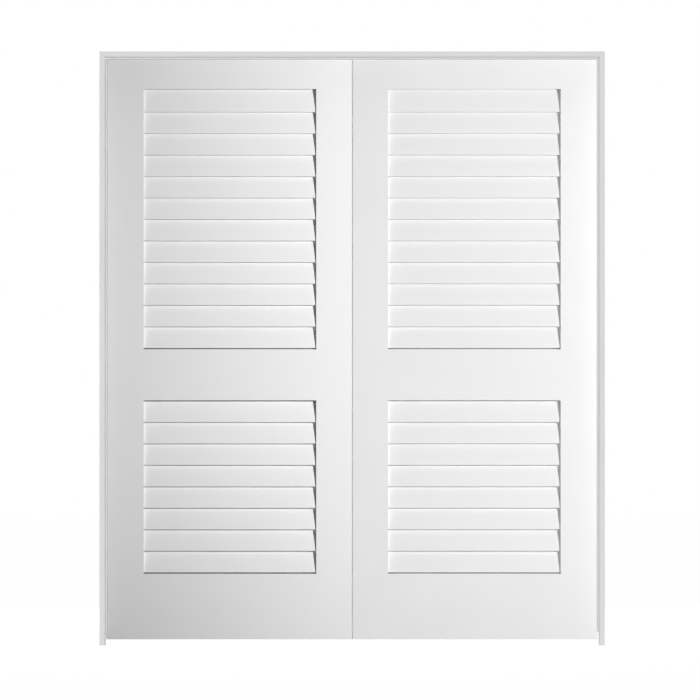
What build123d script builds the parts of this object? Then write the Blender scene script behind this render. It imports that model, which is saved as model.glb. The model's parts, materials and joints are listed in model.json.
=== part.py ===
# Louvered prehung door: two slatted leaves hung on butt hinges in their own jamb set.
#
# The origin is on the floor line, midway between the jambs and midway through the jamb depth.
# X runs across the doorway, Y from the push side to the swing side, and Z up.
# Everything is modelled for the right half, +X, and the left half is its mirror image.

from build123d import *
import math
import os

os.makedirs("parts", exist_ok=True)

# Leaves
leaf_width = 858.5
leaf_height = 2032.0
leaf_thickness = 35.0
meeting_stile_width = 124.0
hinge_stile_width = 131.0
top_rail_height = 107.5
mid_rail_height = 190.2
bottom_rail_height = 241.6
sill_depth = 22.0
sill_drop = 12.0
lower_opening_height = 606.4
eased_edge = 2.0

# Gaps round the leaves; the meeting edges are bevelled, so their gap narrows towards the back
meeting_gap = 3.0
meeting_gap_back = 1.0
hinge_gap = 3.0
head_gap = 3.0
floor_gap = 19.0

# Slats
upper_slat_count = 12
lower_slat_count = 8
slat_chord = 86.0
slat_thickness = 8.0
slat_edge = 5.0
slat_ease = 1.0
slat_recess = 6.0
slat_housing = 8.0
sill_gap = 4.0
upper_slat_extra = 6.1
lower_slat_extra = 1.9

# Rail tenons
tenon_length = 22.0
tenon_thickness = 12.0
tenon_shoulder = 15.0

# Jambs and stops
jamb_thickness = 19.0
jamb_depth = 116.0
head_housing = 8.0
stop_thickness = 8.0
stop_width = 32.0
stop_round = 5.0
stop_ease = 1.0
stop_foot = 47.0
stop_to_leaf = 1.0

# Butt hinges
hinge_height = 89.0
plate_reach = 38.0
plate_thickness = 2.2
knuckle_count = 3
knuckle_radius = 6.35
pin_radius = 3.15
pin_head_radius = 5.4
pin_head_height = 2.6
pin_tip_height = 1.8
top_hinge_down = 178.0
bottom_hinge_up = 279.0

# Clearances
joint_fit = 0.2
pin_fit = 0.05
knuckle_gap = 0.2
barrel_gap = 0.3

# Leaf layout
leaf_back = jamb_depth / 2
leaf_front = leaf_back - leaf_thickness
leaf_middle = leaf_back - leaf_thickness / 2
leaf_inner_edge = meeting_gap / 2
leaf_outer_edge = leaf_inner_edge + leaf_width
leaf_bottom = floor_gap
leaf_top = leaf_bottom + leaf_height
opening_inner = leaf_inner_edge + meeting_stile_width
opening_outer = leaf_outer_edge - hinge_stile_width
opening_width = opening_outer - opening_inner
opening_middle = (opening_inner + opening_outer) / 2
bottom_rail_top = leaf_bottom + bottom_rail_height
lower_opening_bottom = bottom_rail_top - sill_drop
lower_opening_top = lower_opening_bottom + lower_opening_height
mid_rail_top = lower_opening_top + mid_rail_height
upper_opening_bottom = mid_rail_top - sill_drop
upper_opening_top = leaf_top - top_rail_height

# Slat layout: the bottom edge of a slat comes forward and its top edge goes back.
# The tilt brings the eased corners to within the recess of both faces of the leaf.
slat_corner_up = slat_chord / 2 - slat_ease
slat_corner_out = slat_edge / 2
slat_swing = math.asin((leaf_thickness / 2 - slat_recess) / math.hypot(slat_corner_up, slat_corner_out))
slat_tilt = slat_swing - math.atan2(slat_corner_out, slat_corner_up)
slat_height = slat_chord * math.cos(slat_tilt) + (slat_edge - 2 * slat_ease) * math.sin(slat_tilt)
slat_length = opening_width + 2 * (slat_housing - joint_fit)

# Frame layout
jamb_inner = leaf_outer_edge + hinge_gap
head_underside = leaf_top + head_gap
frame_top = head_underside + jamb_thickness
stop_back = leaf_front - stop_to_leaf
stop_front = stop_back - stop_width

# Hinge layout
pin_x = jamb_inner - hinge_gap / 2
pin_y = leaf_back + knuckle_radius + barrel_gap
plate_start = pin_y - plate_reach
plate_width = leaf_back - plate_start
knuckle_height = (hinge_height - (knuckle_count - 1) * knuckle_gap) / knuckle_count
knuckle_pitch = knuckle_height + knuckle_gap
bore_radius = pin_radius + pin_fit
top_hinge = leaf_top - top_hinge_down - hinge_height / 2
bottom_hinge = leaf_bottom + bottom_hinge_up + hinge_height / 2
hinge_levels = [bottom_hinge, (bottom_hinge + top_hinge) / 2, top_hinge]


def write(piece, name):
    # One labelled STEP file for each finished piece
    piece.part.label = name
    export_step(piece.part, f"parts/{name}.step")


def write_pair(piece, name):
    # The right piece as built and the left one as its mirror image
    write(piece, f"right_{name}")
    with BuildPart() as mirrored:
        mirror(piece.part, about=Plane.YZ)
    write(mirrored, f"left_{name}")


def slat_middles(opening_bottom, opening_top, count, extra):
    # Heights of the slats' middles, evenly spread from just above the sill.
    # The last slat shows a little more of its face than the others, and its top edge laps the rail above.
    lowest_edge = opening_bottom + sill_gap
    pitch = (opening_top - extra - lowest_edge) / count
    return [lowest_edge + slat_height / 2 + pitch * i for i in range(count)]


def slat_section(clearance=0.0, ease=slat_ease):
    # Crowned on both faces, with eased flat edges, tilted about the slat's own middle
    half_middle = slat_thickness / 2 + clearance
    half_edge = slat_edge / 2 + clearance
    half_chord = slat_chord / 2 + clearance
    shoulder = half_chord - ease
    with BuildSketch() as upright:
        with BuildLine():
            ThreePointArc((-half_edge, -shoulder), (-half_middle, 0), (-half_edge, shoulder))
            Line((-half_edge, shoulder), (half_edge, shoulder))
            ThreePointArc((half_edge, shoulder), (half_middle, 0), (half_edge, -shoulder))
            Line((half_edge, -shoulder), (-half_edge, -shoulder))
        make_face()
        if ease > 0:
            with Locations((0, shoulder + ease / 2)):
                Trapezoid(2 * half_edge, ease, 45)
            with Locations((0, -shoulder - ease / 2)):
                Trapezoid(2 * half_edge, ease, 45, rotation=180)
    with BuildSketch() as tilted:
        add(upright.sketch, rotation=-math.degrees(slat_tilt))
    return tilted.sketch


lower_slats = slat_middles(lower_opening_bottom, lower_opening_top, lower_slat_count, lower_slat_extra)
upper_slats = slat_middles(upper_opening_bottom, upper_opening_top, upper_slat_count, upper_slat_extra)
housed_section = slat_section(joint_fit, ease=0.0)


# Stiles

rail_spans = [
    (leaf_bottom, bottom_rail_top),
    (lower_opening_top, mid_rail_top),
    (upper_opening_top, leaf_top),
]


def build_stile(opening_face, front_edge, back_edge):
    # A full-height board with a slanted housing for each slat end and a mortise for each rail tenon
    into_board = math.copysign(1, front_edge - opening_face)
    with BuildPart() as stile:
        with BuildSketch(Plane.XY.offset(leaf_bottom)) as board:
            with BuildLine():
                Line((opening_face, leaf_back), (opening_face, leaf_front))
                Line((opening_face, leaf_front), (front_edge, leaf_front))
                Line((front_edge, leaf_front), (back_edge, leaf_back))
                Line((back_edge, leaf_back), (opening_face, leaf_back))
            make_face()
            fillet(board.vertices().sort_by(lambda corner: abs(corner.X - opening_face))[-2:], eased_edge)
        extrude(amount=leaf_height)
        with BuildSketch(Plane.YZ.offset(opening_face)):
            with Locations(*[(leaf_middle, middle) for middle in lower_slats + upper_slats]):
                add(housed_section)
        extrude(amount=into_board * slat_housing, mode=Mode.SUBTRACT)
        with BuildSketch(Plane.YZ.offset(opening_face)):
            for low, high in rail_spans:
                mortise_height = high - low - 2 * tenon_shoulder + 2 * joint_fit
                with Locations((leaf_middle, (low + high) / 2)):
                    Rectangle(tenon_thickness + 2 * joint_fit, mortise_height)
        extrude(amount=into_board * (tenon_length + joint_fit), mode=Mode.SUBTRACT)
    return stile


def cut_hinge_gains(face, into_board):
    # Shallow recesses, open at the back edge, that let the hinge plates lie flush
    gain_height = hinge_height + 2 * joint_fit
    with BuildSketch(Plane.YZ.offset(face)) as gains:
        for level in hinge_levels:
            with Locations((plate_start - joint_fit, level)):
                Rectangle(plate_width + joint_fit, gain_height, align=(Align.MIN, Align.CENTER))
    extrude(gains.sketch, amount=into_board * plate_thickness, mode=Mode.SUBTRACT)


write_pair(build_stile(opening_inner, leaf_inner_edge, meeting_gap_back / 2), "meeting_stile")

with BuildPart() as hinge_stile:
    add(build_stile(opening_outer, leaf_outer_edge, leaf_outer_edge).part)
    cut_hinge_gains(leaf_outer_edge, -1)
write_pair(hinge_stile, "hinge_stile")


# Rails

def build_rail(bottom, top, lapping_slat=None, has_sill=True):
    # A board between the stiles with a stub tenon at each end. It is grooved below for the slat that laps it,
    # and rebated along its top front edge as a sill, with its upstand behind the lowest slat.
    board_length = opening_width + 2 * tenon_length
    with BuildPart() as rail:
        with Locations((opening_middle, leaf_middle, (bottom + top) / 2)):
            Box(opening_width, leaf_thickness, top - bottom)
            Box(board_length, tenon_thickness, top - bottom - 2 * tenon_shoulder)
        if lapping_slat is not None:
            with BuildSketch(Plane.YZ.offset(opening_inner - tenon_length)):
                with Locations((leaf_middle, lapping_slat)):
                    add(housed_section)
            extrude(amount=board_length, mode=Mode.SUBTRACT)
        if has_sill:
            with BuildSketch(Plane.YZ.offset(opening_inner)):
                with Locations((leaf_front, top)):
                    Rectangle(sill_depth, sill_drop, align=(Align.MIN, Align.MAX))
            extrude(amount=opening_width, mode=Mode.SUBTRACT)
    return rail


write_pair(build_rail(leaf_bottom, bottom_rail_top), "bottom_rail")
write_pair(build_rail(lower_opening_top, mid_rail_top, lower_slats[-1]), "mid_rail")
write_pair(build_rail(upper_opening_top, leaf_top, upper_slats[-1], has_sill=False), "top_rail")


# Slats, numbered from the bottom of each opening

def build_slat(middle):
    # One slat with both ends in their housings
    with BuildPart() as slat:
        with BuildSketch(Plane.YZ.offset(opening_inner - slat_housing + joint_fit)):
            with Locations((leaf_middle, middle)):
                add(slat_section())
        extrude(amount=slat_length)
    return slat


for panel, middles in (("lower", lower_slats), ("upper", upper_slats)):
    for number, middle in enumerate(middles, start=1):
        write_pair(build_slat(middle), f"{panel}_slat_{number:02d}")


# Side jambs: the head sits in a rebate at the top, and the hinge plates in their gains

with BuildPart() as side_jamb:
    with BuildSketch():
        with Locations((jamb_inner, 0)):
            Rectangle(jamb_thickness, jamb_depth, align=(Align.MIN, Align.CENTER))
    extrude(amount=frame_top)
    with BuildSketch(Plane.XY.offset(head_underside)):
        with Locations((jamb_inner, 0)):
            Rectangle(head_housing, jamb_depth, align=(Align.MIN, Align.CENTER))
    extrude(amount=jamb_thickness, mode=Mode.SUBTRACT)
    cut_hinge_gains(jamb_inner, 1)
write_pair(side_jamb, "jamb")


# Head jamb, housed in both side jambs

with BuildPart() as head_jamb:
    with BuildSketch(Plane.XY.offset(head_underside)):
        Rectangle(2 * (jamb_inner + head_housing - joint_fit), jamb_depth)
    extrude(amount=jamb_thickness)
write(head_jamb, "head_jamb")


# Stops: one moulding with a round front corner, mitred where the sides meet the head

def stop_section(plane):
    # The moulding's section, with the plane's X pointing into the jamb that carries it
    with BuildSketch(plane) as section:
        with Locations((0, (stop_front + stop_back) / 2)):
            Rectangle(stop_thickness, stop_width, align=(Align.MAX, Align.CENTER))
        fillet(section.vertices().group_by(Axis.X)[0].sort_by(Axis.Y)[0], stop_round)
        fillet(section.vertices().group_by(Axis.X)[0].sort_by(Axis.Y)[-1], stop_ease)
    return section.sketch


right_mitre = Plane(origin=(jamb_inner, 0, head_underside), x_dir=(0, 1, 0), z_dir=(-1, 0, 1))
left_mitre = Plane(origin=(-jamb_inner, 0, head_underside), x_dir=(0, 1, 0), z_dir=(1, 0, 1))

with BuildPart() as side_stop:
    foot = Plane(origin=(jamb_inner, 0, stop_foot), x_dir=(1, 0, 0), z_dir=(0, 0, 1))
    extrude(stop_section(foot), amount=head_underside - stop_foot)
    split(bisect_by=right_mitre, keep=Keep.BOTTOM)
write_pair(side_stop, "stop")

with BuildPart() as head_stop:
    right_end = Plane(origin=(jamb_inner, 0, head_underside), x_dir=(0, 0, 1), z_dir=(-1, 0, 0))
    extrude(stop_section(right_end), amount=2 * jamb_inner)
    split(bisect_by=right_mitre, keep=Keep.TOP)
    split(bisect_by=left_mitre, keep=Keep.TOP)
write(head_stop, "head_stop")


# Butt hinges: the frame plates carry the two outer knuckles, and the door plates the one between

hinge_foot = -hinge_height / 2
frame_knuckles = range(0, knuckle_count, 2)
door_knuckles = range(1, knuckle_count, 2)


def build_hinge_plate(face, into_board, knuckles):
    # A plate that lies flush in the board's face, with its share of the knuckles round the pin
    with BuildPart() as hinge_plate:
        with BuildSketch(Plane.YZ.offset(face)):
            with Locations((plate_start, 0)):
                Rectangle(plate_width, hinge_height, align=(Align.MIN, Align.CENTER))
        extrude(amount=into_board * plate_thickness)
        for knuckle in knuckles:
            with BuildSketch(Plane.XY.offset(hinge_foot + knuckle * knuckle_pitch)):
                with Locations((face + into_board * plate_thickness / 2, leaf_back)):
                    Rectangle(plate_thickness, pin_y - leaf_back, align=(Align.CENTER, Align.MIN))
                with Locations((pin_x, pin_y)):
                    Circle(knuckle_radius)
            extrude(amount=knuckle_height)
        with BuildSketch(Plane.XY.offset(hinge_foot)):
            with Locations((pin_x, pin_y)):
                Circle(bore_radius)
        extrude(amount=hinge_height, mode=Mode.SUBTRACT)
    return hinge_plate.part


def build_pin():
    # A round pin whose head rests on the top knuckle and whose tip shows below the bottom one
    with BuildPart() as pin:
        with BuildSketch(Plane.XY.offset(hinge_foot - pin_tip_height)):
            Circle(pin_radius)
        extrude(amount=hinge_height + pin_tip_height)
        with BuildSketch(Plane.XY.offset(-hinge_foot)):
            Circle(pin_head_radius)
        extrude(amount=pin_head_height)
    return pin.part


with BuildPart() as door_hinge_plates:
    with Locations(*[(0, 0, level) for level in hinge_levels]):
        add(build_hinge_plate(leaf_outer_edge, -1, door_knuckles))
write_pair(door_hinge_plates, "door_hinge_plates")

with BuildPart() as frame_hinge_plates:
    with Locations(*[(0, 0, level) for level in hinge_levels]):
        add(build_hinge_plate(jamb_inner, 1, frame_knuckles))
    mirror(about=Plane.YZ)
write(frame_hinge_plates, "frame_hinge_plates")

with BuildPart() as hinge_pins:
    with Locations(*[(pin_x, pin_y, level) for level in hinge_levels]):
        add(build_pin())
    mirror(about=Plane.YZ)
write(hinge_pins, "hinge_pins")
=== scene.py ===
import bpy
import bmesh
import json
import math
from mathutils import Matrix, Vector

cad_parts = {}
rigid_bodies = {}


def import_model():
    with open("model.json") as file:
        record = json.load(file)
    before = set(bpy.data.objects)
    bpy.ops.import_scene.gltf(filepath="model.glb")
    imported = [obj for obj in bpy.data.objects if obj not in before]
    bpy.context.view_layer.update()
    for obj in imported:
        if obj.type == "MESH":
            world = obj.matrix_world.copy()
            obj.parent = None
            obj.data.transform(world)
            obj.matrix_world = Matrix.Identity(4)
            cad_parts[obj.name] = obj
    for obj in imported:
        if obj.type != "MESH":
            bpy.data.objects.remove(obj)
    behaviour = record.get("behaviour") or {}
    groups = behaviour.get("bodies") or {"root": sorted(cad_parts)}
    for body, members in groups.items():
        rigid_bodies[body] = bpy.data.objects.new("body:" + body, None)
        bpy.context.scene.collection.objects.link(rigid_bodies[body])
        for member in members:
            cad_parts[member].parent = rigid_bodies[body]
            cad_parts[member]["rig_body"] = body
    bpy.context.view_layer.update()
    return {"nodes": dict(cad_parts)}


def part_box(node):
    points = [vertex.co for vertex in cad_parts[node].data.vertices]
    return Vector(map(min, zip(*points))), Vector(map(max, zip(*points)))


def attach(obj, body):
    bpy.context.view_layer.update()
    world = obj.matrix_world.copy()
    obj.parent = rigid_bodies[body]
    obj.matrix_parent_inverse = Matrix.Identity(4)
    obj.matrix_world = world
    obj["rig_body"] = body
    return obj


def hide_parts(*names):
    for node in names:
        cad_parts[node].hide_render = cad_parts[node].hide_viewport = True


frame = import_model()
nodes = frame["nodes"]
scene = bpy.context.scene
print("frame loaded:", len(nodes), "nodes")

sides = {"left": -1, "right": 1}


# small helpers for node trees and meshes

def addNode(tree, kind, settings=None, inputs=None):
    node = tree.nodes.new(kind)
    for key, value in (settings or {}).items():
        setattr(node, key, value)
    for key, value in (inputs or {}).items():
        node.inputs[key].default_value = value
    return node


def join(tree, start, end):
    tree.links.new(start, end)


def meshObject(name, mesh):
    made = bpy.data.objects.new(name, mesh)
    scene.collection.objects.link(made)
    return made


def meshFromBmesh(name, shape, smoothBelow):
    bmesh.ops.recalc_face_normals(shape, faces=shape.faces)
    mesh = bpy.data.meshes.new(name)
    shape.to_mesh(mesh)
    shape.free()
    mesh.shade_smooth()
    mesh.set_sharp_from_angle(angle=math.radians(smoothBelow))
    return mesh


def groupInputs(tree, wanted):
    # one named input for each size, kept by name so that its identifier can be looked up later
    tree.interface.new_socket("Geometry", in_out="INPUT", socket_type="NodeSocketGeometry")
    tree.interface.new_socket("Geometry", in_out="OUTPUT", socket_type="NodeSocketGeometry")
    kinds = {int: "NodeSocketInt", float: "NodeSocketFloat", tuple: "NodeSocketVector"}
    for label, value in wanted.items():
        socket = tree.interface.new_socket(label, in_out="INPUT", socket_type=kinds[type(value)])
        socket.default_value = value
    tree.interface.new_socket("material", in_out="INPUT", socket_type="NodeSocketMaterial")
    return {item.name: item.identifier for item in tree.interface.items_tree
            if getattr(item, "in_out", None) == "INPUT"}


def applyTree(obj, tree, identifiers, values, material):
    # sets the inputs, keeps the result as a plain mesh and drops the modifier
    modifier = obj.modifiers.new(tree.name, "NODES")
    modifier.node_group = tree
    for label, value in values.items():
        modifier[identifiers[label]] = value
    modifier[identifiers["material"]] = material
    bpy.context.view_layer.update()
    evaluated = obj.evaluated_get(bpy.context.evaluated_depsgraph_get())
    plain = bpy.data.meshes.new_from_object(evaluated)
    obj.modifiers.remove(modifier)
    obj.data = plain
    plain.name = obj.name
    return obj


# paint, primer and metal

def feed(tree, value, socket):
    # a socket takes a link or a plain value
    if isinstance(value, bpy.types.NodeSocket):
        join(tree, value, socket)
    else:
        socket.default_value = value


def noise(tree, place, scale, detail, roughness, distortion=0.0):
    node = addNode(tree, "ShaderNodeTexNoise", None,
                   {"Scale": scale, "Detail": detail, "Roughness": roughness, "Distortion": distortion})
    join(tree, place, node.inputs["Vector"])
    return node.outputs["Fac"]


def stretched(tree, place, scale):
    node = addNode(tree, "ShaderNodeMapping", None, {"Scale": scale})
    join(tree, place, node.inputs["Vector"])
    return node.outputs[0]


def remap(tree, value, source, target=(0.0, 1.0)):
    node = addNode(tree, "ShaderNodeMapRange", None, {
        "From Min": source[0], "From Max": source[1], "To Min": target[0], "To Max": target[1]})
    join(tree, value, node.inputs["Value"])
    return node.outputs[0]


def maths(tree, operation, first, second, clamp=False):
    node = addNode(tree, "ShaderNodeMath", {"operation": operation, "use_clamp": clamp})
    feed(tree, first, node.inputs[0])
    feed(tree, second, node.inputs[1])
    return node.outputs[0]


def mixed(tree, share, first, second):
    node = addNode(tree, "ShaderNodeMix", {"data_type": "RGBA"})
    for number, value in ((0, share), (6, first), (7, second)):
        feed(tree, value, node.inputs[number])
    return node.outputs[2]


def bumped(tree, height, strength, distance, under=None):
    node = addNode(tree, "ShaderNodeBump", None, {"Strength": strength, "Distance": distance})
    join(tree, height, node.inputs["Height"])
    if under:
        join(tree, under, node.inputs["Normal"])
    return node.outputs[0]


leafPaintLook = {
    "colour": (0.835, 0.835, 0.835, 1),
    "wornColour": (0.80, 0.798, 0.792, 1),
    "roughness": (0.40, 0.50),
    "grainBump": 0.10,
    "stippleBump": 0.10,
}
slatPaintLook = {
    "colour": (0.835, 0.835, 0.835, 1),
    "wornColour": (0.805, 0.803, 0.798, 1),
    "roughness": (0.38, 0.48),
    "grainBump": 0.10,
    "stippleBump": 0.08,
}
primerLook = {
    "colour": (0.70, 0.70, 0.70, 1),
    "wornColour": (0.66, 0.66, 0.655, 1),
    "roughness": (0.62, 0.74),
    "grainBump": 0.25,
    "stippleBump": 0.12,
}
coatTexture = {
    "grainAlong": 2.5,
    "grainAcross": 160,
    "grainDetail": 5.0,
    "grainRoughness": 0.6,
    "grainWave": 0.15,
    "grainShows": (0.35, 0.75),
    "grainShare": (0.0, 0.22),
    "grainDepth": 0.0006,
    "stippleScale": 420.0,
    "stippleDetail": 2.0,
    "stippleRoughness": 0.5,
    "stippleDepth": 0.0004,
    "cloudScale": 5.5,
    "cloudDetail": 4.0,
    "cloudRoughness": 0.55,
    "cloudShows": (0.3, 0.8),
    "cloudShare": (0.0, 0.35),
    "glossFollows": (0.25, 0.75),
    "specular": 0.4,
    "stockJump": 3.71,
}
# painted shade for the sill recess under the lowest slats: a dark colour for each leaf, lighter on the right
# leaf, whose recess is less shaded
sillShadeLook = {
    "left": (0.22, 0.217, 0.208, 1),
    "right": (0.34, 0.336, 0.325, 1),
    "reach": 0.03,
    "samples": 8,
    "closedIn": (0.16, 0.40),
}


def paintedWood(name, look, grainAxis, slatAttribute=None, paintedShadeColour=None):
    coat = coatTexture
    material = bpy.data.materials.new(name)
    material.use_nodes = True
    tree = material.node_tree
    shader = tree.nodes["Principled BSDF"]
    place = addNode(tree, "ShaderNodeTexCoord").outputs["Object"]
    if slatAttribute:
        # every slat was cut from its own length of stock, so the grain jumps from one to the next
        number = addNode(tree, "ShaderNodeAttribute", {"attribute_name": slatAttribute})
        jump = addNode(tree, "ShaderNodeCombineXYZ")
        join(tree, maths(tree, "MULTIPLY", number.outputs["Fac"], coat["stockJump"]), jump.inputs["X"])
        moved = addNode(tree, "ShaderNodeVectorMath", {"operation": "ADD"})
        join(tree, place, moved.inputs[0])
        join(tree, jump.outputs[0], moved.inputs[1])
        place = moved.outputs[0]
    # long grain that still shows a little through the paint
    along, across = coat["grainAlong"], coat["grainAcross"]
    stretch = {"x": (along, across, across), "z": (across, across, along)}[grainAxis]
    grain = noise(tree, stretched(tree, place, stretch), 1.0,
                  coat["grainDetail"], coat["grainRoughness"], coat["grainWave"])
    # fine stipple left by the spray gun, and broad clouds in the coat
    stipple = noise(tree, place, coat["stippleScale"], coat["stippleDetail"], coat["stippleRoughness"])
    cloud = noise(tree, place, coat["cloudScale"], coat["cloudDetail"], coat["cloudRoughness"])
    wear = maths(tree, "ADD", remap(tree, grain, coat["grainShows"], coat["grainShare"]),
                 remap(tree, cloud, coat["cloudShows"], coat["cloudShare"]), clamp=True)
    colour = mixed(tree, wear, look["colour"], look["wornColour"])
    if paintedShadeColour:
        # painted shade: where ambient occlusion finds the sill almost closed in, a dark colour is mixed into
        # the paint, standing in for the shadow in the recess under the lowest slat
        closedIn = addNode(tree, "ShaderNodeAmbientOcclusion", {"samples": sillShadeLook["samples"]},
                           {"Distance": sillShadeLook["reach"]})
        unshadedShare = remap(tree, closedIn.outputs["AO"], sillShadeLook["closedIn"])
        colour = mixed(tree, unshadedShare, paintedShadeColour, colour)
    join(tree, colour, shader.inputs["Base Color"])
    # the gloss breaks up with the clouds
    join(tree, remap(tree, cloud, coat["glossFollows"], look["roughness"]), shader.inputs["Roughness"])
    grainNormal = bumped(tree, grain, look["grainBump"], coat["grainDepth"])
    stippleNormal = bumped(tree, stipple, look["stippleBump"], coat["stippleDepth"], grainNormal)
    join(tree, stippleNormal, shader.inputs["Normal"])
    shader.inputs["Specular IOR Level"].default_value = coat["specular"]
    return material


hingeLook = {"colour": (0.43, 0.415, 0.39, 1), "roughness": 0.36, "brushAxis": "z"}
screwLook = {"colour": (0.36, 0.348, 0.33, 1), "roughness": 0.30, "brushAxis": "x"}
nickelTexture = {
    "brushAlong": 30,
    "brushAcross": 2600,
    "brushDetail": 3.0,
    "brushRoughness": 0.6,
    "brushFollows": (0.3, 0.7),
    "glossBelow": 0.06,
    "glossAbove": 0.08,
    "brushBump": 0.15,
    "brushDepth": 0.0001,
    "tarnishScale": 60.0,
    "tarnishDetail": 4.0,
    "tarnishRoughness": 0.6,
    "tarnishShows": (0.45, 0.8),
    "tarnishShare": (0.0, 0.7),
    "tarnishTint": (0.78, 0.77, 0.74),
}


def satinNickel(name, look):
    metal = nickelTexture
    material = bpy.data.materials.new(name)
    material.use_nodes = True
    tree = material.node_tree
    shader = tree.nodes["Principled BSDF"]
    shader.inputs["Metallic"].default_value = 1.0
    place = addNode(tree, "ShaderNodeTexCoord").outputs["Object"]
    along, across = metal["brushAlong"], metal["brushAcross"]
    stretch = {"x": (along, across, across), "z": (across, across, along)}[look["brushAxis"]]
    brush = noise(tree, stretched(tree, place, stretch), 1.0, metal["brushDetail"], metal["brushRoughness"])
    tarnish = noise(tree, place, metal["tarnishScale"], metal["tarnishDetail"], metal["tarnishRoughness"])
    tarnished = (*[a * b for a, b in zip(look["colour"], metal["tarnishTint"])], 1)
    spots = remap(tree, tarnish, metal["tarnishShows"], metal["tarnishShare"])
    join(tree, mixed(tree, spots, look["colour"], tarnished), shader.inputs["Base Color"])
    gloss = (look["roughness"] - metal["glossBelow"], look["roughness"] + metal["glossAbove"])
    join(tree, remap(tree, brush, metal["brushFollows"], gloss), shader.inputs["Roughness"])
    join(tree, bumped(tree, brush, metal["brushBump"], metal["brushDepth"]), shader.inputs["Normal"])
    return material


stilePaint = paintedWood("stilePaint", leafPaintLook, "z")
# the rails carry the painted shade in their sill recesses
railPaint = {side: paintedWood(f"{side}RailPaint", leafPaintLook, "x", paintedShadeColour=sillShadeLook[side])
             for side in sides}
slatPaint = paintedWood("slatPaint", slatPaintLook, "x", "slatNumber")
jambPrimer = paintedWood("jambPrimer", primerLook, "z")
headPrimer = paintedWood("headPrimer", primerLook, "x")
hingeNickel = satinNickel("hingeNickel", hingeLook)
screwNickel = satinNickel("screwNickel", screwLook)
print("materials made")


# boards and hinges carried over from the solids

def setMaterial(obj, material):
    obj.data.materials.clear()
    obj.data.materials.append(material)


for side in sides:
    for board in ("hinge_stile", "meeting_stile"):
        setMaterial(nodes[f"{side}_{board}"], stilePaint)
    for board in ("top_rail", "mid_rail", "bottom_rail"):
        setMaterial(nodes[f"{side}_{board}"], railPaint[side])
    setMaterial(nodes[f"{side}_jamb"], jambPrimer)
    setMaterial(nodes[f"{side}_stop"], jambPrimer)
    setMaterial(nodes[f"{side}_door_hinge_plates"], hingeNickel)
for board in ("head_jamb", "head_stop"):
    setMaterial(nodes[board], headPrimer)
for part in ("frame_hinge_plates", "hinge_pins"):
    setMaterial(nodes[part], hingeNickel)
print("boards and hinges painted")


# slats: one stack of nodes for each leaf

slatSizes = {
    "chord": 0.086,
    "thickness": 0.008,
    "edge": 0.005,
    "cornerRound": 0.0010,
    "crownSteps": 14,
    "cornerSteps": 4,
    "length": 0.6191,
    "tilt": math.radians(12.45),
    "smoothBelow": 50,
    "lowerCount": 8,
    "upperCount": 12,
    "stray": 0.0001,
    "seeds": {"left": 3, "right": 5},
}


def slatProfile(sizes):
    # crowned faces and rounded corners, as (depth, height) pairs round the section
    half = sizes["chord"] / 2
    edge = sizes["edge"] / 2
    corner = sizes["cornerRound"]
    crown = sizes["thickness"] / 2 - edge
    reach = half - corner
    outline = []
    for i in range(sizes["crownSteps"] + 1):
        height = reach * (2 * i / sizes["crownSteps"] - 1)
        outline.append((-edge - crown * (1 - (height / reach) ** 2), height))
    steps = sizes["cornerSteps"]
    turns = [(-edge + corner, 180 - 90 * i / steps) for i in range(1, steps + 1)]
    turns += [(edge - corner, 90 - 90 * i / steps) for i in range(steps)]
    for middle, degrees in turns:
        angle = math.radians(degrees)
        outline.append((middle + corner * math.cos(angle), reach + corner * math.sin(angle)))
    # the other half of the outline is the same turned half round
    return outline + [(-depth, -height) for depth, height in outline]


def slatMesh(sizes):
    turn = Matrix.Rotation(-sizes["tilt"], 3, "X")
    shape = bmesh.new()
    profile = slatProfile(sizes)
    ends = []
    for x in (-sizes["length"] / 2, sizes["length"] / 2):
        ends.append([shape.verts.new(turn @ Vector((x, depth, height))) for depth, height in profile])
    count = len(profile)
    for i in range(count):
        after = (i + 1) % count
        shape.faces.new((ends[0][i], ends[0][after], ends[1][after], ends[1][i]))
    shape.faces.new(ends[0])
    shape.faces.new(list(reversed(ends[1])))
    return meshFromBmesh("slat", shape, sizes["smoothBelow"])


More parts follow.
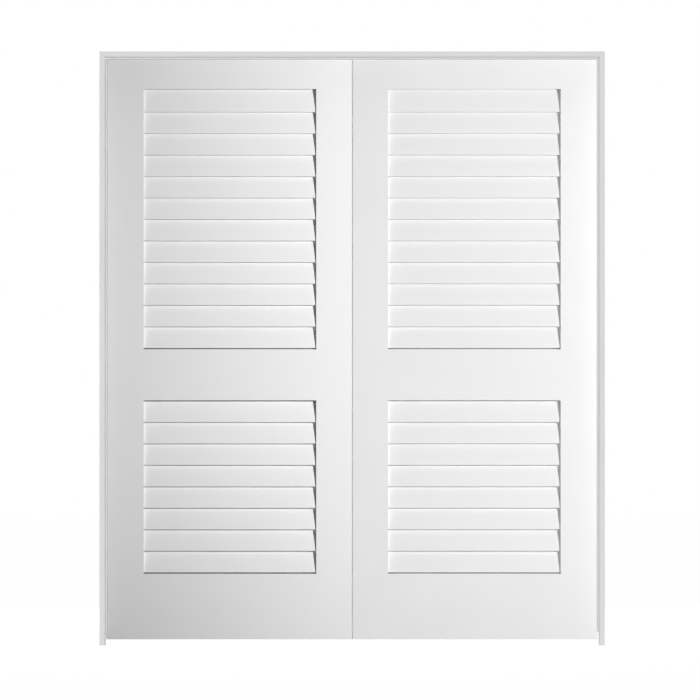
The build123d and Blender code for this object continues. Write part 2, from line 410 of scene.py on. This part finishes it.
def slatTree():
    tree = bpy.data.node_groups.new("slatStack", "GeometryNodeTree")
    identifiers = groupInputs(tree, {
        "lower first": (0.0, 0.0, 0.0), "lower count": 8, "lower pitch": 0.075,
        "upper first": (0.0, 0.0, 0.0), "upper count": 12, "upper pitch": 0.075,
        "number from": 0, "stray": 0.0001, "seed": 4,
    })
    given = addNode(tree, "NodeGroupInput")
    lines = []
    for panel in ("lower", "upper"):
        step = addNode(tree, "ShaderNodeCombineXYZ")
        join(tree, given.outputs[f"{panel} pitch"], step.inputs["Z"])
        line = addNode(tree, "GeometryNodeMeshLine", {"mode": "OFFSET"})
        join(tree, given.outputs[f"{panel} count"], line.inputs["Count"])
        join(tree, given.outputs[f"{panel} first"], line.inputs["Start Location"])
        join(tree, step.outputs[0], line.inputs["Offset"])
        lines.append(line)
    both = addNode(tree, "GeometryNodeJoinGeometry")
    for line in reversed(lines):
        join(tree, line.outputs["Mesh"], both.inputs[0])
    # each slat sits a hair off its neighbours' line, as glued work does
    index = addNode(tree, "GeometryNodeInputIndex")
    stray = addNode(tree, "FunctionNodeRandomValue", {"data_type": "FLOAT_VECTOR"},
                    {"Min": (0, -1, -1), "Max": (0, 1, 1)})
    join(tree, given.outputs["seed"], stray.inputs["Seed"])
    size = addNode(tree, "ShaderNodeVectorMath", {"operation": "SCALE"})
    join(tree, stray.outputs[0], size.inputs[0])
    join(tree, given.outputs["stray"], size.inputs["Scale"])
    settle = addNode(tree, "GeometryNodeSetPosition")
    join(tree, both.outputs[0], settle.inputs["Geometry"])
    join(tree, size.outputs[0], settle.inputs["Offset"])
    place = addNode(tree, "GeometryNodeInstanceOnPoints")
    join(tree, settle.outputs[0], place.inputs["Points"])
    join(tree, given.outputs["Geometry"], place.inputs["Instance"])
    number = addNode(tree, "ShaderNodeMath", {"operation": "ADD"})
    join(tree, index.outputs[0], number.inputs[0])
    join(tree, given.outputs["number from"], number.inputs[1])
    mark = addNode(tree, "GeometryNodeStoreNamedAttribute", {"data_type": "FLOAT", "domain": "INSTANCE"},
                   {"Name": "slatNumber"})
    join(tree, place.outputs[0], mark.inputs["Geometry"])
    join(tree, number.outputs[0], mark.inputs["Value"])
    real = addNode(tree, "GeometryNodeRealizeInstances")
    join(tree, mark.outputs[0], real.inputs[0])
    paint = addNode(tree, "GeometryNodeSetMaterial")
    join(tree, real.outputs[0], paint.inputs["Geometry"])
    join(tree, given.outputs["material"], paint.inputs["Material"])
    result = addNode(tree, "NodeGroupOutput")
    join(tree, paint.outputs[0], result.inputs[0])
    return tree, identifiers


def slatMiddle(side, panel, number):
    low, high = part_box(f"{side}_{panel}_slat_{number:02d}")
    return (low + high) / 2


stackTree, stackInputs = slatTree()
for side, sign in sides.items():
    stack = meshObject(f"{side}_leaf_slats", slatMesh(slatSizes))
    slatCount = slatSizes["lowerCount"] + slatSizes["upperCount"]
    values = {
        "number from": 0 if sign < 0 else slatCount,
        "stray": slatSizes["stray"],
        "seed": slatSizes["seeds"][side],
    }
    for panel in ("lower", "upper"):
        first = slatMiddle(side, panel, 1)
        values[f"{panel} first"] = tuple(first)
        values[f"{panel} pitch"] = slatMiddle(side, panel, 2).z - first.z
        values[f"{panel} count"] = slatSizes[f"{panel}Count"]
    applyTree(stack, stackTree, stackInputs, values, slatPaint)
    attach(stack, f"{side}_leaf")
    lowerNodes = [f"{side}_lower_slat_{i:02d}" for i in range(1, slatSizes["lowerCount"] + 1)]
    upperNodes = [f"{side}_upper_slat_{i:02d}" for i in range(1, slatSizes["upperCount"] + 1)]
    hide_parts(*lowerNodes, *upperNodes)
    print(stack.name, len(stack.data.polygons), "faces")


# hinge screws: three to a plate

screwSizes = {
    "headRadius": 0.0042,
    "proud": 0.0007,
    "crossReach": 0.0024,
    "crossWidth": 0.0010,
    "crossDepth": 0.00055,
    "crossTaper": 0.7,
    "archAngles": (22, 33, 45, 57, 68),
    "dome": ((1.0, 0.0), (0.985, 0.45), (0.92, 0.75), (0.78, 0.95)),
    "smoothBelow": 40,
    "hingeCount": 3,
    "hingeFirst": 0.3425,
    "hingePitch": 0.743,
    "rowSpread": 0.029,
    "outerY": 0.03565,
    "innerY": 0.04665,
    "frameFaceX": 0.863,
    "leafFaceX": 0.860,
}


def crossOutline(sizes):
    # the recess seen from the front, as (angle, reach) pairs
    half = sizes["crossWidth"] / 2
    corner = math.atan2(half, sizes["crossReach"])
    between = [math.radians(degrees) for degrees in sizes["archAngles"]]
    outline = []
    for quarter in range(4):
        for angle in (0, corner, *between, math.pi / 2 - corner):
            toArm = min(angle, math.pi / 2 - angle)
            reach = sizes["crossReach"] / math.cos(toArm) if toArm <= corner else half / math.sin(toArm)
            outline.append((quarter * math.pi / 2 + angle, reach))
    return outline


def screwMesh(sizes):
    # an oval head that points along +X, with a cross recess pressed into it
    shape = bmesh.new()
    radius, proud = sizes["headRadius"], sizes["proud"]
    outline = crossOutline(sizes)
    loops = [(proud * lift, [(angle, radius * share) for angle, reach in outline])
             for share, lift in sizes["dome"]]
    loops.append((proud, outline))
    bottom = [(angle, reach * sizes["crossTaper"]) for angle, reach in outline]
    loops.append((proud - sizes["crossDepth"], bottom))
    rings = []
    for height, loop in loops:
        rings.append([shape.verts.new((height, reach * math.cos(angle), reach * math.sin(angle)))
                      for angle, reach in loop])
    for inner, outer in zip(rings[1:], rings):
        for i in range(len(outline)):
            after = (i + 1) % len(outline)
            shape.faces.new((outer[i], outer[after], inner[after], inner[i]))
    shape.faces.new(rings[-1])
    shape.faces.new(list(reversed(rings[0])))
    return meshFromBmesh("screwHead", shape, sizes["smoothBelow"])


def screwTree():
    tree = bpy.data.node_groups.new("hingeScrews", "GeometryNodeTree")
    identifiers = groupInputs(tree, {
        "hinge count": 3, "hinge first": (0.0, 0.0, 0.0), "hinge pitch": 0.7,
        "row spread": 0.03, "row step": 0.01,
        "side count": 1, "side first": 0.0, "side step": 0.0, "face turn": 0.0, "seed": 7,
    })
    given = addNode(tree, "NodeGroupInput")

    def vectorOf(axis, socket):
        made = addNode(tree, "ShaderNodeCombineXYZ")
        join(tree, socket, made.inputs[axis])
        return made.outputs[0]

    # three holes on a plate, the middle one set further back
    spread = addNode(tree, "ShaderNodeMath", {"operation": "MULTIPLY"}, {1: -1.0})
    join(tree, given.outputs["row spread"], spread.inputs[0])
    row = addNode(tree, "GeometryNodeMeshLine", {"mode": "OFFSET"}, {"Count": 3})
    join(tree, vectorOf("Z", spread.outputs[0]), row.inputs["Start Location"])
    join(tree, vectorOf("Z", given.outputs["row spread"]), row.inputs["Offset"])
    index = addNode(tree, "GeometryNodeInputIndex")
    middle = addNode(tree, "FunctionNodeCompare", {"data_type": "INT", "operation": "EQUAL"})
    join(tree, index.outputs[0], middle.inputs["A"])
    next(s for s in middle.inputs if s.name == "B" and s.type == "INT").default_value = 1
    setBack = addNode(tree, "GeometryNodeSetPosition")
    join(tree, row.outputs["Mesh"], setBack.inputs["Geometry"])
    join(tree, middle.outputs[0], setBack.inputs["Selection"])
    join(tree, vectorOf("Y", given.outputs["row step"]), setBack.inputs["Offset"])
    # one set of holes for each hinge, then for each side
    levels = addNode(tree, "GeometryNodeMeshLine", {"mode": "OFFSET"})
    join(tree, given.outputs["hinge count"], levels.inputs["Count"])
    join(tree, given.outputs["hinge first"], levels.inputs["Start Location"])
    join(tree, vectorOf("Z", given.outputs["hinge pitch"]), levels.inputs["Offset"])
    onHinges = addNode(tree, "GeometryNodeInstanceOnPoints")
    join(tree, levels.outputs["Mesh"], onHinges.inputs["Points"])
    join(tree, setBack.outputs[0], onHinges.inputs["Instance"])
    faces = addNode(tree, "GeometryNodeMeshLine", {"mode": "OFFSET"})
    join(tree, given.outputs["side count"], faces.inputs["Count"])
    join(tree, vectorOf("X", given.outputs["side first"]), faces.inputs["Start Location"])
    join(tree, vectorOf("X", given.outputs["side step"]), faces.inputs["Offset"])
    onSides = addNode(tree, "GeometryNodeInstanceOnPoints")
    join(tree, faces.outputs["Mesh"], onSides.inputs["Points"])
    join(tree, onHinges.outputs[0], onSides.inputs["Instance"])
    spots = addNode(tree, "GeometryNodeRealizeInstances")
    join(tree, onSides.outputs[0], spots.inputs[0])
    # a head faces +X; on the other side it is turned round, and each is driven to its own angle
    position = addNode(tree, "GeometryNodeInputPosition")
    parts = addNode(tree, "ShaderNodeSeparateXYZ")
    join(tree, position.outputs[0], parts.inputs[0])
    rightSide = addNode(tree, "FunctionNodeCompare", {"data_type": "FLOAT", "operation": "GREATER_THAN"})
    join(tree, parts.outputs["X"], rightSide.inputs[0])
    half = addNode(tree, "ShaderNodeMath", {"operation": "MULTIPLY_ADD"}, {1: math.pi})
    join(tree, rightSide.outputs[0], half.inputs[0])
    join(tree, given.outputs["face turn"], half.inputs[2])
    roll = addNode(tree, "FunctionNodeRandomValue", {"data_type": "FLOAT"})
    ends = [s for s in roll.inputs if s.enabled and s.name in ("Min", "Max")]
    ends[0].default_value, ends[1].default_value = 0.0, math.pi / 2
    join(tree, given.outputs["seed"], roll.inputs["Seed"])
    rolled = addNode(tree, "ShaderNodeCombineXYZ")
    rollOut = next(s for s in roll.outputs if s.enabled)
    join(tree, rollOut, rolled.inputs["X"])
    join(tree, half.outputs[0], rolled.inputs["Z"])
    heads = addNode(tree, "GeometryNodeInstanceOnPoints")
    join(tree, spots.outputs[0], heads.inputs["Points"])
    join(tree, given.outputs["Geometry"], heads.inputs["Instance"])
    join(tree, rolled.outputs[0], heads.inputs["Rotation"])
    real = addNode(tree, "GeometryNodeRealizeInstances")
    join(tree, heads.outputs[0], real.inputs[0])
    finish = addNode(tree, "GeometryNodeSetMaterial")
    join(tree, real.outputs[0], finish.inputs["Geometry"])
    join(tree, given.outputs["material"], finish.inputs["Material"])
    result = addNode(tree, "NodeGroupOutput")
    join(tree, finish.outputs[0], result.inputs[0])
    return tree, identifiers


screwsTree, screwInputs = screwTree()
frameFace, leafFace = screwSizes["frameFaceX"], screwSizes["leafFaceX"]
screwSets = {
    "frame_hinge_screws": {"body": "frame", "sides": 2, "from": -frameFace, "step": 2 * frameFace,
                           "turn": 0.0, "seed": 25},
    "left_leaf_hinge_screws": {"body": "left_leaf", "sides": 1, "from": -leafFace, "step": 0.0,
                               "turn": math.pi, "seed": 29},
    "right_leaf_hinge_screws": {"body": "right_leaf", "sides": 1, "from": leafFace, "step": 0.0,
                                "turn": math.pi, "seed": 30},
}
for name, wanted in screwSets.items():
    screws = meshObject(name, screwMesh(screwSizes))
    applyTree(screws, screwsTree, screwInputs, {
        "hinge count": screwSizes["hingeCount"],
        "hinge first": (0.0, screwSizes["outerY"], screwSizes["hingeFirst"]),
        "hinge pitch": screwSizes["hingePitch"],
        "row spread": screwSizes["rowSpread"],
        "row step": screwSizes["innerY"] - screwSizes["outerY"],
        "side count": wanted["sides"],
        "side first": wanted["from"],
        "side step": wanted["step"],
        "face turn": wanted["turn"],
        "seed": wanted["seed"],
    }, screwNickel)
    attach(screws, wanted["body"])
    print(screws.name, len(screws.data.polygons), "faces")


# floor, light and camera

studio = {
    "floor": {"size": 60.0, "colour": (0.2, 0.2, 0.2, 1), "glow": 0.92},
    "roomLight": 0.03,
    "keySoftness": 0.15,
    "leftKey": {"place": (4.08, -7.0, 2.3), "aim": (1.238, 0.023, 1.273), "power": 3267.0, "cone": 43.6,
                "outerTrim": (0.238, 0.300, 2.4), "topTrim": (-0.0924, -0.1170, 0.8)},
    "rightKey": {"place": (4.935, -7.0, 2.0), "aim": (0.684, 0.023, 1.077), "power": 2390.0, "cone": 32.2,
                 "outerTrim": (-0.027, -0.040, 0.82), "topTrim": (-0.1063, -0.1311, 0.8)},
    "sunAim": (0.0, 0.0, 1.0),
    "rightFill": {"place": (0.0, -6.0, 1.6), "level": 0.19, "softness": 20},
    "frameKey": {"place": (0.0, -6.0, 1.0), "level": 0.89, "softness": 12},
    "floorKey": {"place": (0.0, 0.0, 6.0), "level": 0.32, "softness": 35},
    "leftSide": {"place": (-6.0, 2.6, 5.0), "level": 0.62, "softness": 15},
    "rightSide": {"place": (6.0, 2.6, 4.2), "level": 0.62, "softness": 15},
    "backKey": {"place": (-2.9, 4.6, 1.6), "aim": (0.0, 0.058, 1.05), "power": 112.0, "size": 1.2},
    "backFill": {"place": (3.2, 4.4, 1.4), "aim": (0.0, 0.058, 1.05), "power": 44.0, "size": 1.2},
}

floorMesh = bpy.data.meshes.new("floor")
reach = studio["floor"]["size"] / 2
corners = [(-reach, -reach, 0), (reach, -reach, 0), (reach, reach, 0), (-reach, reach, 0)]
floorMesh.from_pydata(corners, [], [(0, 1, 2, 3)])
floor = meshObject("floor", floorMesh)
floorMaterial = bpy.data.materials.new("paleFloor")
floorMaterial.use_nodes = True
floorTree = floorMaterial.node_tree
floorTree.nodes.clear()
matte = addNode(floorTree, "ShaderNodeBsdfDiffuse", None, {"Color": studio["floor"]["colour"]})
glow = addNode(floorTree, "ShaderNodeEmission", None, {"Color": (1, 1, 1, 1)})
path = addNode(floorTree, "ShaderNodeLightPath")
seen = maths(floorTree, "MAXIMUM", path.outputs["Is Camera Ray"], path.outputs["Is Glossy Ray"])
join(floorTree, maths(floorTree, "MULTIPLY", seen, studio["floor"]["glow"]), glow.inputs["Strength"])
together = addNode(floorTree, "ShaderNodeAddShader")
join(floorTree, matte.outputs[0], together.inputs[0])
join(floorTree, glow.outputs[0], together.inputs[1])
floorOut = addNode(floorTree, "ShaderNodeOutputMaterial")
join(floorTree, together.outputs[0], floorOut.inputs["Surface"])
floorMesh.materials.append(floorMaterial)

world = bpy.data.worlds.new("whiteRoom")
scene.world = world
world.use_nodes = True
worldTree = world.node_tree
room = worldTree.nodes["Background"]
room.inputs["Color"].default_value = (1, 1, 1, 1)
worldPath = addNode(worldTree, "ShaderNodeLightPath")
whiteSeen = worldPath.outputs["Is Camera Ray"]
for ray in ("Is Transmission Ray", "Is Glossy Ray"):
    whiteSeen = maths(worldTree, "MAXIMUM", whiteSeen, worldPath.outputs[ray])
roomLevel = remap(worldTree, whiteSeen, (0.0, 1.0), (studio["roomLight"], 1.0))
join(worldTree, roomLevel, room.inputs["Strength"])


def gather(name, members):
    # a set of pieces that a lamp is told about
    collection = bpy.data.collections.new(name)
    for member in members:
        collection.objects.link(member)
    return collection


def lampObject(name, data, place, aim):
    lamp = bpy.data.objects.new(name, data)
    scene.collection.objects.link(lamp)
    lamp.location = place
    lamp.rotation_euler = (Vector(aim) - Vector(place)).to_track_quat("-Z", "Y").to_euler()
    return lamp


def softBox(name):
    values = studio[name]
    data = bpy.data.lights.new(name, "AREA")
    data.shape = "SQUARE"
    data.size = values["size"]
    data.energy = values["power"]
    return lampObject(name, data, values["place"], values["aim"])


def spotLamp(name):
    # a far lamp whose beam fades out softly towards its edge
    values = studio[name]
    data = bpy.data.lights.new(name, "SPOT")
    data.energy = values["power"]
    data.spot_size = math.radians(values["cone"])
    data.spot_blend = 1.0
    data.shadow_soft_size = studio["keySoftness"]
    # the beam is trimmed past the closed leaf's outer edge, so that an open leaf is lit as evenly,
    # and just under the head, which throws light back
    data.use_nodes = True
    tree = data.node_tree
    way = addNode(tree, "ShaderNodeSeparateXYZ")
    join(tree, addNode(tree, "ShaderNodeTexCoord").outputs["Normal"], way.inputs[0])
    trims = []
    for axis, edge in (("X", "outerTrim"), ("Y", "topTrim")):
        start, end, share = values[edge]
        slope = maths(tree, "DIVIDE", way.outputs[axis], way.outputs["Z"])
        trims.append(remap(tree, slope, (start, end), (1.0, share)))
    join(tree, maths(tree, "MULTIPLY", *trims), tree.nodes["Emission"].inputs["Strength"])
    return lampObject(name, data, values["place"], values["aim"])


def sunLamp(name):
    values = studio[name]
    data = bpy.data.lights.new(name, "SUN")
    data.energy = values["level"] * math.pi
    data.angle = math.radians(values["softness"])
    return lampObject(name, data, values["place"], studio["sunAim"])


def lightOnly(lamp, lit, shadedBy=None):
    # the lamp lights one set of pieces, and only the second set throws shadows in its light
    lamp.light_linking.receiver_collection = lit
    if shadedBy:
        lamp.light_linking.blocker_collection = shadedBy


def piecesOf(body):
    return [o for o in scene.objects if o.type == "MESH" and o.get("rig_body") == body and not o.hide_render]


def woodOf(body):
    # the bare lamps would burn out the metal, which takes its light from the white room instead
    return [o for o in piecesOf(body) if o.data.materials[0] not in (hingeNickel, screwNickel)]


leafWood = {side: gather(f"{side}LeafWood", woodOf(f"{side}_leaf")) for side in sides}
frameWood = gather("frameWood", woodOf("frame"))
leafPieces = gather("leafPieces", piecesOf("left_leaf") + piecesOf("right_leaf"))
doorPieces = gather("doorPieces", [*leafPieces.objects, *piecesOf("frame")])
for side in sides:
    # each leaf has its own key, and the frame doesn't shade it
    lightOnly(spotLamp(f"{side}Key"), leafWood[side], leafPieces)
lightOnly(sunLamp("rightFill"), leafWood["right"], leafPieces)
lightOnly(sunLamp("frameKey"), frameWood, doorPieces)
lightOnly(sunLamp("floorKey"), gather("floorOnly", [floor]))
for side in sides:
    # the outer faces of the jambs and the top of the head, which the other lamps only graze
    lightOnly(sunLamp(f"{side}Side"), frameWood)
allWood = [*leafWood["left"].objects, *leafWood["right"].objects, *frameWood.objects]
lightOnly(softBox("backKey"), gather("woodAndFloor", [*allWood, floor]))
softBox("backFill")

shot = {"place": (-0.0075, -40.0, 1.031), "lens": 588.6, "sensor": 36, "nearest": 1.0, "farthest": 200.0}
cameraData = bpy.data.cameras.new("camera")
cameraData.sensor_width = shot["sensor"]
cameraData.lens = shot["lens"]
cameraData.clip_start = shot["nearest"]
cameraData.clip_end = shot["farthest"]
camera = bpy.data.objects.new("camera", cameraData)
scene.collection.objects.link(camera)
camera.location = shot["place"]
camera.rotation_euler = (math.radians(90), 0, 0)
scene.camera = camera
scene.view_settings.view_transform = "Standard"
print("studio set")
